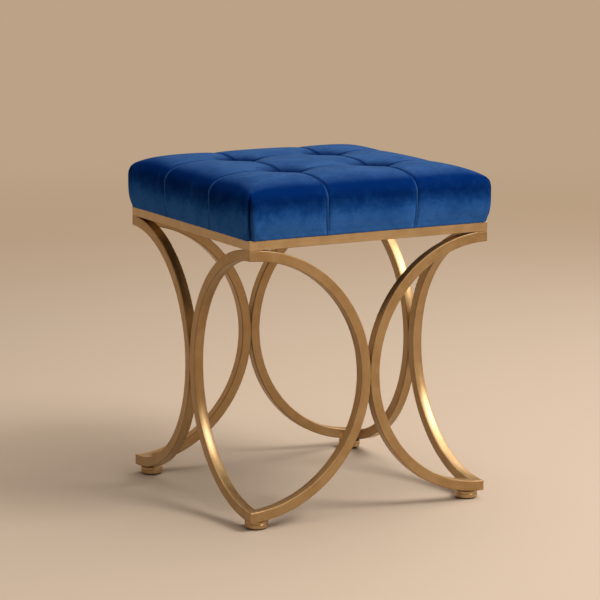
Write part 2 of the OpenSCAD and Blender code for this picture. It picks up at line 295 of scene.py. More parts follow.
def gold_turned():
    """Gold for the glides, brushed round their own axes."""
    g = Graph("gold_turned", GOLD)
    x, y, z = g.axes()
    dx = g.math("SUBTRACT", g.math("ABSOLUTE", x), GLIDE_AT)
    dy = g.math("SUBTRACT", g.math("ABSOLUTE", y), GLIDE_AT)
    radius = g.distance(dx, dy)
    from_rim = g.math("ADD", g.math("SUBTRACT", GLIDE_R, radius), g.math("SUBTRACT", glide_high.z, z))
    rim = g.span(from_rim, RIM_RUBBED_W, RIM_RUBBED_END, 1.0, 0.0)
    around = g.math("ARCTAN2", dy, dx)
    place = g.scaled_point((radius, z, around), (TURNED_MARKS, TURNED_MARKS, TURNED_ROUND))
    # The glides get the gold's darker copy, which is painted shade, mixed with the rails' deeper tone.
    return gold_finish(g, place, rim, (GOLD_SHADED, GOLD_DEEP), GLIDE_ROUGH)


# Linear colours of the velvet. Deep, own and pale are its tones where the nap lies one way or another;
# they also carry the painted shade just under the shoulder and the painted light low on the sides.
# The rest are painted: shade in the grooves, tufts and creases, a highlight on the seams' lips, and a sheen
# on the crown.
VELVET_SHADE = (0.0004, 0.006, 0.040)
VELVET_DEEP = (0.0008, 0.014, 0.086)
VELVET = (0.010, 0.064, 0.240)
VELVET_PALE = (0.031, 0.118, 0.350)
VELVET_LIP_HIGHLIGHT = (0.035, 0.120, 0.350)
VELVET_TOP_SHEEN = (0.038, 0.099, 0.242)
SEAM_LINE = "seam_line"
HOLLOW_SHADE = "hollow"

# The sides are painted light low down and turn to painted shade between these distances from the shoulder
SIDE_PAINTED_LIGHT_BELOW = 0.042
SIDE_PAINTED_SHADE_ABOVE = 0.014
SIDE_PAINTED_LIGHT = 0.22
SIDE_PAINTED_SHADE = -0.15
NAP_SPREAD = 0.50

# The crown's painted sheen is at 0.3 of its strength the first distance in from its edge, and full from the
# second
TOP_SHEEN_EDGE_W = 0.004
TOP_SHEEN_FULL_W = 0.062

# Lies (the nap's patches plus the painted light and shade of the sides) over which the tone goes from deep
# to the velvet's own, and on to pale
LIE_DEEP, LIE_OWN = 0.33, 0.65
LIE_PALER, LIE_PALE = 0.50, 0.78

# Half widths of the painted highlight on a seam's lip and of the painted shade in the groove beside it,
# full and run out
LIP_FULL, LIP_END = 0.0008, 0.0018
GROOVE_FULL, GROOVE_END = 0.0014, 0.0034

# How much of its colour each of them, and the painted shade of the deepest hollow, brings
LIP_SHARE = 0.65
GROOVE_SHARE = 0.6
HOLLOW_SHADE_SHARE = 0.92


def paint_seam_and_hollow_shading(g, shade, facing_up):
    """The colour with painted shade in the grooves, painted highlights on the lips, and painted shade in
    the hollows laid over it.
    """
    seam, hollow = g.attribute(SEAM_LINE), g.attribute(HOLLOW_SHADE)
    # The seams' lips get a painted highlight, fainter where they face up; the grooves beside them and the
    # hollows get painted shade
    lip = g.span(seam, LIP_FULL, LIP_END, LIP_SHARE, 0.0)
    lip = g.math("MULTIPLY", lip, g.span(facing_up, 0.30, 0.90, 1.0, 0.35))
    groove = g.span(seam, GROOVE_FULL, GROOVE_END, GROOVE_SHARE, 0.0)
    shade = g.mix(groove, shade, VELVET_SHADE)
    shade = g.mix(lip, shade, VELVET_LIP_HIGHLIGHT)
    return g.mix(g.span(hollow, 0.08, 0.80, 0.0, HOLLOW_SHADE_SHARE), shade, VELVET_SHADE)


def velvet():
    """Short-pile velvet: patches where the nap lies the other way, fine pile and a soft sheen, with painted
    light and shade on the sides, a painted sheen on the crown, and painted highlights and shade at the
    seams, tufts and creases.
    """
    g = Graph("velvet", VELVET)
    broad = g.noise(g.place, 20, 3, 0.58, 0.6)
    brushed = g.noise(g.place, 110, 4, 0.62, 0.3)
    pile = g.noise(g.stretched(1.0, 1.0, 0.35), 1500, 3, 0.7)
    nap = g.weighed(broad, 0.6, brushed, 0.4)
    facing_up = g.node("SeparateXYZ", g.node("NewGeometry").outputs["Normal"]).outputs["Z"]
    x, y, z = g.axes()
    # Painted light low on the sides, turning to painted shade just under the shoulder, by height
    upright = g.span(z, SHOULDER_Z - SIDE_PAINTED_LIGHT_BELOW, SHOULDER_Z + SIDE_PAINTED_SHADE_ABOVE, SIDE_PAINTED_LIGHT, SIDE_PAINTED_SHADE)
    inwards = g.math("SUBTRACT", W, g.math("MAXIMUM", g.math("ABSOLUTE", x), g.math("ABSOLUTE", y)))
    # A painted sheen on the level crown, weaker near its edge
    even = g.span(inwards, TOP_SHEEN_EDGE_W, TOP_SHEEN_FULL_W, 0.30, 1.0)
    top_sheen = g.math("MULTIPLY", g.span(facing_up, 0.78, 0.97), even)
    calm = g.span(facing_up, 0.50, 0.95, 1.0, 0.4)
    patches = g.math("MULTIPLY", g.math("SUBTRACT", nap, 0.5), g.math("MULTIPLY", calm, NAP_SPREAD))
    lie = g.math("ADD", g.math("ADD", patches, 0.5), upright)
    shade = g.mix(g.span(lie, LIE_DEEP, LIE_OWN), VELVET_DEEP, VELVET)
    shade = g.mix(g.span(lie, LIE_PALER, LIE_PALE), shade, VELVET_PALE)
    shade = g.mix(g.math("MULTIPLY", top_sheen, g.span(nap, 0.30, 0.70, 0.45, 0.85)), shade, VELVET_TOP_SHEEN)
    shade = paint_seam_and_hollow_shading(g, shade, facing_up)
    g.set(Base_Color=g.mix(g.span(pile, 0.35, 0.75, 0.0, 0.35), shade, VELVET_DEEP))
    g.set(Roughness=0.85, Specular_IOR_Level=0.0)
    g.set(Sheen_Weight=0.60, Sheen_Roughness=0.13, Sheen_Tint=(0.40, 0.68, 1.0, 1))
    soft = g.bump(nap, 0.0008, 0.4)
    g.set(Normal=g.bump(pile, 0.00022, 0.8, soft))
    return g.material


def grained(name, seen, noise, tones, height, rough, **values):
    """Two tones mixed by a noise, which also roughens the surface, unevenly where rough is a pair."""
    g = Graph(name, seen)
    grain = g.noise(g.place, *noise)
    if isinstance(rough, tuple):
        rough = g.span(grain, 0.3, 0.7, *rough)
    g.set(Base_Color=g.mix(grain, *tones), Roughness=rough, Normal=g.bump(grain, height), **values)
    return g.material


def zinc():
    tones = (0.42, 0.43, 0.45), (0.66, 0.67, 0.69)
    return grained("zinc", (0.6, 0.6, 0.62), (420, 2), tones, 0.00003, (0.28, 0.45), Metallic=1.0)


def black_steel():
    tones = (0.012, 0.012, 0.013), (0.035, 0.034, 0.034)
    return grained("black_steel", (0.03, 0.03, 0.03), (600, 3), tones, 0.00003, (0.35, 0.55), Metallic=0.6)


def floor_pad():
    tones = (0.028, 0.019, 0.012), (0.075, 0.052, 0.034)
    return grained("floor_pad", (0.05, 0.035, 0.02), (1800, 4, 0.7), tones, 0.0002, 0.9)


def foam():
    tones = (0.62, 0.50, 0.26), (0.85, 0.76, 0.50)
    return grained("foam", (0.8, 0.7, 0.45), (900, 4, 0.75), tones, 0.0008, 0.95)


def twine():
    tones = (0.004, 0.018, 0.075), (0.012, 0.050, 0.180)
    return grained("twine", (0.02, 0.05, 0.15), (2200, 3, 0.6), tones, 0.0002, 0.8, Specular_IOR_Level=0.2)


def plywood():
    """Birch face veneer with long grain, and darker plies along the board's edge."""
    g = Graph("plywood", (0.6, 0.45, 0.28))
    grain = g.noise(g.stretched(1.0, 14.0, 1.0), 16, 6, 0.6, 1.2)
    pores = g.noise(g.stretched(12.0, 400.0, 12.0), 3, 3)
    plies = g.math("FRACT", g.math("MULTIPLY", g.axes()[2], 1 / 0.0024))
    face = g.mix(grain, (0.46, 0.31, 0.17), (0.66, 0.49, 0.30))
    face = g.mix(g.span(pores, 0.55, 0.8, 0.0, 0.5), face, (0.30, 0.19, 0.10))
    g.set(Base_Color=g.mix(g.span(plies, 0.45, 0.55, 0.0, 0.25), face, (0.28, 0.17, 0.09)), Roughness=0.7)
    g.set(Normal=g.bump(grain, 0.0002))
    return g.material


def cambric():
    """Thin black non-woven cloth with short pressed fibres."""
    g = Graph("cambric", (0.02, 0.02, 0.022))
    fibres = g.noise(g.place, 1300, 5, 0.8, 1.5)
    cloud = g.noise(g.place, 60, 3)
    g.set(Base_Color=g.mix(g.math("MULTIPLY", fibres, cloud), (0.010, 0.010, 0.012), (0.060, 0.060, 0.066)))
    g.set(Roughness=0.92, Sheen_Weight=0.2, Normal=g.bump(fibres, 0.0002))
    return g.material


def dress(node, material):
    """Gives a CAD node its procedural material."""
    mesh = nodes[node].data
    mesh.materials.clear()
    mesh.materials.append(material)


def dress_frame():
    rail_x, rail_y = gold_tube("gold_rail_x", "rail", False), gold_tube("gold_rail_y", "rail", True)
    arc_x, arc_y = gold_tube("gold_arc_x", "arc", False), gold_tube("gold_arc_y", "arc", True)
    plate, turned = gold_plate("gold_plate", RAIL_ROUGH), gold_turned()
    zinc_steel, pad = zinc(), floor_pad()
    for side in SIDES:
        dress(f"rail_{side}", rail_x if side in ("front", "back") else rail_y)
    for a, b in CORNERS:
        dress(f"arc_{a}_{b}", arc_x)
        dress(f"arc_{b}_{a}", arc_y)
        dress(f"seat_bracket_{a}_{b}", plate)
        dress(f"foot_tab_{a}_{b}", plate)
        dress(f"glide_stem_{a}_{b}", zinc_steel)
        dress(f"glide_base_{a}_{b}", turned)
        dress(f"glide_pad_{a}_{b}", pad)
    for node in ("tuft_washers", "bolt_washers", "tee_nuts"):
        dress(node, zinc_steel)
    dress("seat_bolts", black_steel())
    dress("seat_board", plywood())


# The cushion's form

def bell(d, width):
    """1 where d is 0, and next to nothing three widths away."""
    return np.exp(-((d / width) ** 2))


def smooth_step(t):
    t = np.clip(t, 0, 1)
    return t * t * (3 - 2 * t)


def quarter_turns(number):
    """Cosine and sine of a number of quarter turns."""
    turn = number * math.pi / 2
    return round(math.cos(turn)), round(math.sin(turn))


def to_seam(v):
    return abs(abs(v) - SEAM_AT)


def off_tuft(x, y):
    return np.hypot(to_seam(x), to_seam(y))


def seam_fall(d):
    """1 on a seam, falling off in a soft slope with a tighter crease in it."""
    soft = SEAM_SOFT_SHARE * np.exp(-abs(d) / SEAM_SOFT_W)
    return soft + (1 - SEAM_SOFT_SHARE) * bell(d, SEAM_CREASE_W)


def edge_round(v):
    return np.sqrt(np.maximum(0, 1 - (abs(v) / W) ** CROWN_POWER))


def both_round(a, b):
    """A soft least of two roundings, which keeps the crown's corners full."""
    a, b = np.maximum(a, 1e-6), np.maximum(b, 1e-6)
    return (a**-CROWN_JOIN_POWER + b**-CROWN_JOIN_POWER - 1) ** (-1 / CROWN_JOIN_POWER)


def crown_height(x, y):
    seams = np.maximum(seam_fall(to_seam(x)), seam_fall(to_seam(y)))
    pit = bell(off_tuft(x, y), TUFT_PIT_R)
    return both_round(edge_round(x), edge_round(y)) * (CROWN_H - SEAM_DEPTH * seams - TUFT_DEPTH * pit)


def rounded_point(x, y, w, r):
    """Moves a point of a square of half width w onto the same square with rounded corners."""
    cx, cy = np.clip(x, r - w, w - r), np.clip(y, r - w, w - r)
    dx, dy = x - cx, y - cy
    off = np.hypot(dx, dy)
    k = np.where(off > 1e-9, np.maximum(abs(dx), abs(dy)) / np.maximum(off, 1e-9), 1)
    return cx + dx * k, cy + dy * k


def side_pull(v):
    """How far a side is drawn in at v along it, most in its middle and at its seams."""
    return SIDE_DRAW * (1 - (abs(v) / W) ** SIDE_DRAW_POWER) + SIDE_SEAM_DEPTH * seam_fall(to_seam(v))


def top_patch(at):
    x, y = np.meshgrid(at, at)
    px, py = rounded_point(x, y, W, CORNER_R)
    on_x, on_y = (abs(x) / W) ** CROWN_POWER, (abs(y) / W) ** CROWN_POWER
    px = px - np.sign(x) * on_x * side_pull(y)
    py = py - np.sign(y) * on_y * side_pull(x)
    return np.stack([px, py, SHOULDER_Z + crown_height(x, y)], -1)


# The sides, but not their corners, are drawn in by this share at the foot and fully from a third up
DRAW_AT_FOOT = 0.5
DRAW_RISE = 3
CORNER_KEEP_POWER = 60


def side_patch(side, at, levels):
    """Rows run from the crown's edge down to the hem, and columns along the side, anticlockwise."""
    v, k = np.meshgrid(at, levels)
    w = W - TUCK_IN * (1 - k) ** TUCK_POWER
    px, py = rounded_point(v * w / W, -w, w, CORNER_R)
    fade = DRAW_AT_FOOT + (1 - DRAW_AT_FOOT) * smooth_step(DRAW_RISE * k)
    inner = 1 - (abs(v) / W) ** CORNER_KEEP_POWER
    flat = np.stack([px, py + inner * fade * side_pull(v)], -1)
    c, s = quarter_turns(side)
    x, y = flat[..., 0] * c - flat[..., 1] * s, flat[..., 0] * s + flat[..., 1] * c
    return np.stack([x, y, COVER_LOW + SIDE_H * k], -1)


def graded(ends, cells, evenness):
    """Positions through the ends, closer together towards each of them."""
    parts = [[ends[0]]]
    step = np.arange(1, cells + 1) / cells
    share = evenness * step + (1 - evenness) * (0.5 - 0.5 * np.cos(math.pi * step))
    for a, b in zip(ends, ends[1:]):
        parts.append(a + (b - a) * share)
    return np.concatenate(parts)


class CushionGrid:
    """Five patches, the top and four sides, that share their edge points."""

    def __init__(self, at, levels):
        self.at, self.levels = at, levels
        # X and Y over the top, and how far along and how high up over a side
        self.top_at = np.meshgrid(at, at)
        self.side_at = np.meshgrid(at, levels)
        n, rows = len(at), len(levels)
        self.around = 4 * (n - 1)
        self.top = np.arange(n * n).reshape(n, n)
        top = self.top
        edge = np.concatenate([top[0, :-1], top[:-1, -1], top[-1, :0:-1], top[:0:-1, 0]])
        rings = [edge] + [n * n + self.around * r + np.arange(self.around) for r in range(rows - 1)]
        self.rings = np.stack(rings)
        self.sides = [self.rings[:, (s * (n - 1) + np.arange(n)) % self.around] for s in range(4)]
        self.count = n * n + self.around * (rows - 1)

    def base(self):
        points = np.zeros((self.count, 3))
        for s, index in enumerate(self.sides):
            points[index] = side_patch(s, self.at, self.levels)
        points[self.top] = top_patch(self.at)
        return points

    def quads(self):
        def cells(i):
            return np.stack([i[:-1, :-1], i[:-1, 1:], i[1:, 1:], i[1:, :-1]], -1).reshape(-1, 4)
        found = [cells(self.top)]
        found += [cells(index)[:, ::-1] for index in self.sides]
        return np.concatenate(found)

    def spread(self, values):
        """A field known on the patches as (top, sides), as one array over the points."""
        top, sides = values
        field = np.zeros((self.count,) + top.shape[2:])
        for index, side in zip(self.sides, sides):
            field[index] = side
        field[self.top] = top
        return field


def hermite(values, old, new, axis):
    """Smooth resampling of values along one axis from the old positions to the new ones."""
    values = np.moveaxis(values, axis, 0)
    slope = np.gradient(values, old, axis=0)
    i = np.clip(np.searchsorted(old, new, side="right") - 1, 0, len(old) - 2)
    h = old[i + 1] - old[i]
    t = (new - old[i]) / h
    shape = (-1,) + (1,) * (values.ndim - 1)
    t, h = t.reshape(shape), h.reshape(shape)
    t2, t3 = t * t, t * t * t
    out = (2 * t3 - 3 * t2 + 1) * values[i] + (t3 - 2 * t2 + t) * h * slope[i]
    out = out + (3 * t2 - 2 * t3) * values[i + 1] + (t3 - t2) * h * slope[i + 1]
    return np.moveaxis(out, 0, axis)


SEWN_ENDS = [-W, -SEAM_AT, SEAM_AT, W]

# The cloth simulation: its grid, its length, and the furthest that it may move a point
EVEN = 1.0
SIM_CELLS = 24
SIM_ROWS = 14
SIM_FRAMES = 20
SIM_CAP = 0.0035

# How firmly it holds the seams and corners, and how far round them, round the tufts and up from the foot
SIM_SEAM_HOLD = 0.55
SIM_SEAM_W = 0.003
SIM_TUFT_R = 0.006
SIM_CORNER_HOLD = 0.7
SIM_CORNER_W = 0.006
SIM_CORNER_TOP = 0.85
SIM_CORNER_FADE = 0.3
SIM_FOOT = 0.06
SIM_LEAST_HOLD = 0.01


def held(grid):
    """How firmly the simulation holds each point: 1 fast, 0 free."""
    x, y = grid.top_at
    v, k = grid.side_at
    seams = SIM_SEAM_HOLD * bell(np.minimum(to_seam(x), to_seam(y)), SIM_SEAM_W)
    top = np.maximum(bell(off_tuft(x, y), SIM_TUFT_R), seams)
    side_seams = SIM_SEAM_HOLD * bell(to_seam(v), SIM_SEAM_W)
    up_corner = smooth_step((SIM_CORNER_TOP - k) / SIM_CORNER_FADE)
    corners = SIM_CORNER_HOLD * bell(W - abs(v), SIM_CORNER_W) * up_corner
    foot = smooth_step(1 - k / SIM_FOOT)
    return grid.spread((top, [np.maximum.reduce([side_seams, corners, foot])] * 4))


def add_cloth(obj):
    """Springy padded cloth, blown out from inside and held by its pins."""
    cloth = obj.modifiers.new("cloth", "CLOTH")
    cloth.point_cache.frame_start, cloth.point_cache.frame_end = 1, SIM_FRAMES
    cloth.settings.quality = 6
    cloth.settings.mass = 0.15
    cloth.settings.tension_stiffness = 40
    cloth.settings.compression_stiffness = 30
    cloth.settings.shear_stiffness = 8
    cloth.settings.bending_stiffness = 12
    cloth.settings.tension_damping = 8
    cloth.settings.use_pressure = True
    cloth.settings.uniform_pressure_force = 4
    cloth.settings.shrink_min = 0.0
    cloth.settings.vertex_group_mass = "pins"
    cloth.settings.effector_weights.gravity = 0


def inflate(grid):
    """How far cloth simulation moves each point of a cushion under pressure, held down at its seams."""
    points = grid.base()
    middle = len(points)
    last = grid.rings[-1]
    fan = [[middle, b, a] for a, b in zip(last, np.roll(last, -1))]
    mesh = bpy.data.meshes.new("cushion_sim")
    mesh.from_pydata(np.vstack([points, [0, 0, COVER_LOW]]).tolist(), [], grid.quads().tolist() + fan)
    obj = placed("cushion_sim", mesh)
    pins = obj.vertex_groups.new(name="pins")
    for i, weight in enumerate(np.append(held(grid), 1.0)):
        if weight > SIM_LEAST_HOLD:
            pins.add([i], float(weight), "REPLACE")
    add_cloth(obj)
    scene = bpy.context.scene
    for number in range(1, SIM_FRAMES + 1):
        scene.frame_set(number)
    shaped = obj.evaluated_get(bpy.context.evaluated_depsgraph_get()).data
    after = np.array([v.co for v in shaped.vertices])
    scene.frame_set(1)
    bpy.data.objects.remove(obj)
    moved = after[:-1] - points
    length = np.linalg.norm(moved, axis=1, keepdims=True)
    return moved * np.minimum(1, SIM_CAP / np.maximum(length, 1e-9))


def puffed(grid):
    """How far the simulated cushion's points move, carried over to a finer grid."""
    coarse = CushionGrid(graded(SEWN_ENDS, SIM_CELLS, EVEN), graded([1, 0], SIM_ROWS, EVEN))
    moved = inflate(coarse)

    def carried(patch, rows, new_rows):
        return hermite(hermite(moved[patch], rows, new_rows, 0), coarse.at, grid.at, 1)

    top = carried(coarse.top, coarse.at, grid.at)
    return grid.spread((top, [carried(index, -coarse.levels, -grid.levels) for index in coarse.sides]))


# A sewn seam is a groove with a fine raised lip in it, which fades at the tufts and at the sides' foot
SEAM_GROOVE_DEPTH = 0.0020
SEAM_GROOVE_W = 0.0024
SEAM_LIP_H = 0.0024
SEAM_LIP_W = 0.0010
SEAM_START_R = 0.014
SEAM_FOOT_SHARE = 0.3
SEAM_FOOT_H = 0.05


def seam_relief(d):
    """Height over a sewn seam at distance d."""
    return SEAM_LIP_H * bell(d, SEAM_LIP_W) - SEAM_GROOVE_DEPTH * bell(d, SEAM_GROOVE_W)


def seam_distance(grid):
    x, y = grid.top_at
    v = grid.side_at[0]
    return grid.spread((np.minimum(to_seam(x), to_seam(y)), [to_seam(v)] * 4))


# How dark the painted shade in the tufts and the corner creases is, and how wide; creases run out this high
# on the crown
TUFT_SHADE_R = 0.035
CREASE_SHADE = 0.5
CREASE_CORE_SHADE = 0.5
CREASE_CORE_W = 0.005
CREASE_SLOPE_SHADE = 0.6
CREASE_SLOPE_W = 0.019
CREASE_END_H = 0.019


def crease_fade(x, y):
    """1 at the foot of the crown, 0 where the corner creases have run out on it."""
    return smooth_step(1 - crown_height(x, y) / CREASE_END_H)


def hollows(grid):
    """1 deep in the tufts, less in the corner creases, and 0 elsewhere: where little light falls, which the
    velvet paints as shade.
    """
    def crease(from_corner):
        core = CREASE_CORE_SHADE * bell(from_corner, CREASE_CORE_W)
        slopes = CREASE_SLOPE_SHADE * bell(from_corner, CREASE_SLOPE_W)
        return CREASE_SHADE * np.minimum(1, core + slopes)

    x, y = grid.top_at
    v = grid.side_at[0]
    tufts = bell(off_tuft(x, y), TUFT_SHADE_R)
    top = np.maximum(tufts, crease(abs(abs(x) - abs(y))) * crease_fade(x, y))
    return grid.spread((top, [crease(W - abs(v))] * 4))


# A corner's fold: a wide dip with a sharp crease in it, and a slight swell beside it
FOLD_DIP = 0.0046
FOLD_DIP_W = 0.0085
FOLD_CREASE = 0.0044
FOLD_CREASE_W = 0.0022
FOLD_SWELL = 0.0014
FOLD_SWELL_AT = 0.013
FOLD_SWELL_W = 0.006

# Over this share of the sides' height the fold opens out towards the foot, by this share
FOLD_OPENS_H = 0.16
FOLD_OPENS = 0.75


def fold_depth(from_corner):
    """How far each of X and Y moves inwards at a distance from a corner's crease."""
    depth = FOLD_DIP * bell(from_corner, FOLD_DIP_W) + FOLD_CREASE * bell(from_corner, FOLD_CREASE_W)
    return (depth - FOLD_SWELL * bell(from_corner - FOLD_SWELL_AT, FOLD_SWELL_W)) / math.sqrt(2)


def corner_pleats(grid):
    """Each corner is folded in along an upright crease, from the rail up into the crown."""
    v, k = grid.side_at
    fold = fold_depth(W - abs(v)) * (1 - FOLD_OPENS * smooth_step(1 - k / FOLD_OPENS_H))
    patches = []
    for side in range(4):
        c, s = quarter_turns(side)
        x, y = -np.sign(v) * fold, fold
        patches.append(np.stack([x * c - y * s, x * s + y * c, 0 * x], -1))
    x, y = grid.top_at
    fold = fold_depth(abs(abs(x) - abs(y))) * crease_fade(x, y)
    top = np.stack([-np.sign(x) * fold, -np.sign(y) * fold, 0 * x], -1)
    return grid.spread((top, patches))


# Small gathers round each tuft
GATHER_H = 0.0004
GATHERS = 9
GATHER_TURN = 1.3
GATHER_R = 0.021
GATHER_W = 0.008

# Small wrinkles at the foot of each corner
WRINKLE_H = 0.0007
WRINKLE_STEP = 0.0042
WRINKLE_LEAN = 4
WRINKLE_UP = 0.20
WRINKLE_ALONG = 0.030

# The pull of the staples in the cloth just over the rails
PULL_H = 0.0004
PULL_STEP = 0.0105
PULL_AT = 0.05
PULL_UP = 0.06
PULL_FROM_CORNER = 0.02


def cushion_relief(grid):
    """Sewn detail along the surface's normal: seams, deep tufts, gathers, and wrinkles at the foot."""
    x, y = grid.top_at
    off = off_tuft(x, y)
    around = np.arctan2(abs(y) - SEAM_AT, abs(x) - SEAM_AT)
    sewn = seam_relief(np.minimum(to_seam(x), to_seam(y))) * smooth_step(off / SEAM_START_R)
    pit = -TUFT_PULL * bell(off, TUFT_PULL_R)
    gathers = GATHER_H * np.cos(GATHERS * around + GATHER_TURN) * bell(off - GATHER_R, GATHER_W)
    top = sewn + pit + gathers

    v, k = grid.side_at
    from_corner = W - abs(v)
    sewn = seam_relief(to_seam(v)) * smooth_step(k / SEAM_FOOT_H + SEAM_FOOT_SHARE)
    foot = bell(k, WRINKLE_UP) * bell(from_corner, WRINKLE_ALONG)
    wrinkles = WRINKLE_H * foot * np.sin(from_corner / WRINKLE_STEP * math.pi + WRINKLE_LEAN * k)
    pulled = PULL_H * np.sin(v / PULL_STEP * math.pi) * bell(k - PULL_AT, PULL_UP)
    side = sewn + wrinkles + pulled * smooth_step(from_corner / PULL_FROM_CORNER)
    return grid.spread((top, [side] * 4))


def finish_mesh(name, points, faces, material, smooth=None):
    """An object of points and faces. All its faces are shaded smooth, or only so many of the first."""
    mesh = bpy.data.meshes.new(name)
    mesh.from_pydata(np.asarray(points).tolist(), [], [list(map(int, f)) for f in faces])
    count = len(faces) if smooth is None else smooth
    mesh.polygons.foreach_set("use_smooth", [i < count for i in range(len(faces))])
    mesh.materials.append(material)
    mesh.update()
    return placed(name, mesh)


def point_normals(points, faces):
    """Area-weighted normals of the points."""
    a, b, c, d = (points[faces[:, i]] for i in range(4))
    face = np.cross(c - a, d - b)
    out = np.zeros_like(points)
    for i in range(4):
        np.add.at(out, faces[:, i], face)
    return out / np.maximum(np.linalg.norm(out, axis=1, keepdims=True), 1e-12)


# The cushion's fine grid; a lower evenness draws its rows and columns closer to the seams and edges
PUFF_CELLS = 48
PUFF_EVENNESS = 0.12
SIDE_ROWS = 30
SIDE_EVENNESS = 0.6

# How far the foot of the sides hangs down and out over the rails, and over which share of their height
FOOT_DROP = 0.0016
FOOT_OUT = 0.0008
FOOT_SHARE = 0.12

# Shares of the cushion's width at which the hem turns in under it
HEM_TURNS = (0.985, 0.9)


def hang_foot(grid, points):
    """Lets the foot of the sides hang a little over the rails' rounded edge."""
    v, k = grid.side_at
    no_top = np.zeros(grid.top.shape)
    foot = grid.spread((no_top, [smooth_step(1 - k / FOOT_SHARE)] * 4))
    out = grid.spread((no_top, [FOOT_OUT + SIDE_SEAM_DEPTH * seam_fall(to_seam(v))] * 4))
    points[:, :2] *= 1 + (out / HALF * foot)[:, None]
    points[:, 2] -= FOOT_DROP * foot


def turn_hem(points, faces, edge, low):
    """Adds the cover's hem, which turns in under the board, and closes the cushion there."""
    hem_in = (BOARD_HALF - HEM_W) / W
    rings = [low * (share, share, 1) for share in (*HEM_TURNS, hem_in)]
    rings.append(rings[-1] + (0, 0, HEM_T))
    ids = [edge]
    for ring in rings:
        ids.append(len(points) + np.arange(len(ring)))
        points = np.vstack([points, ring])
    middle = len(points)
    points = np.vstack([points, [0, 0, COVER_LOW + HEM_T]])
    for a, b in zip(ids, ids[1:]):
        faces += [[p, q, r, s] for p, q, r, s in zip(np.roll(a, -1), a, b, np.roll(b, -1))]
    faces += [[q, p, middle] for p, q in zip(ids[-1], np.roll(ids[-1], -1))]
    return points, faces


def build_cushion():
    columns, rows = graded(SEWN_ENDS, PUFF_CELLS, PUFF_EVENNESS), graded([1, 0], SIDE_ROWS, SIDE_EVENNESS)
    grid = CushionGrid(columns, rows)
    points, quads = grid.base(), grid.quads()
    points = points + puffed(grid)
    points = points + corner_pleats(grid)
    points = points + point_normals(points, quads) * cushion_relief(grid)[:, None]
    edge = grid.rings[-1]
    low = points[edge].copy()
    hang_foot(grid, points)
    points, faces = turn_hem(points, quads.tolist(), edge, low)
    obj = finish_mesh("velvet_cushion", points, faces, velvet())
    # The seams' distance, and the mask of the painted shade in the tufts and creases, as attributes
    for name, field, rest in ((SEAM_LINE, seam_distance(grid), SEAM_AT), (HOLLOW_SHADE, hollows(grid), 0.0)):
        values = np.full(len(points), rest, np.float32)
        values[: grid.count] = field
        obj.data.attributes.new(name, "FLOAT", "POINT").data.foreach_set("value", values)
    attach(obj, STOOL)
    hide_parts("velvet_cover")


FOAM_ROUND = 0.006


def build_foam():
    """Foam block with softly rounded edges, inside the cover."""
    size = foam_high - foam_low
    bm = bmesh.new()
    bmesh.ops.create_cube(bm, size=1)
    for v in bm.verts:
        v.co = Vector((v.co.x * size.x, v.co.y * size.y, v.co.z * size.z)) + (foam_low + foam_high) / 2
    bmesh.ops.bevel(bm, geom=bm.edges[:], offset=FOAM_ROUND, segments=4, profile=0.6, affect="EDGES")
    mesh = bpy.data.meshes.new("foam_block")
    bm.to_mesh(mesh)
    bm.free()
    mesh.materials.append(foam())
    obj = placed("foam_block", mesh)
    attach(obj, STOOL)
    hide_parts("foam_core")


# The dust cover: its grid, its cut corners, its thickness, and how high it lies in its box
DUST_CELLS = 92
DUST_CUT = 0.0696
DUST_T = 0.0003
DUST_LIFT = 0.0002

# It is folded in along its edge, over this width, and is a thickness lower there
DUST_FOLD = 0.012
DUST_FOLD_T = 0.0003
DUST_FOLD_STEP = 0.0015

# It sags in its middle, and the staples' pull ripples it near its edge
DUST_SAG = 0.0022
DUST_SAG_W = 0.11
DUST_RIPPLE = 0.0005
DUST_RIPPLE_STEP = 0.031
DUST_RIPPLE_AT = 0.02
DUST_RIPPLE_W = 0.015
DUST_RIPPLE_FROM = 0.008

# Points closer together than this are made one, and shorter edges are taken out
DUST_MERGE = 0.0002
DUST_SLIVER = 0.00005


def tidy_points(obj):
    """Merges the points that the cut corners have pushed together."""
    bm = bmesh.new()
    bm.from_mesh(obj.data)
    bmesh.ops.remove_doubles(bm, verts=bm.verts, dist=DUST_MERGE)
    bmesh.ops.dissolve_degenerate(bm, dist=DUST_SLIVER, edges=bm.edges)
    bm.to_mesh(obj.data)
    bm.free()


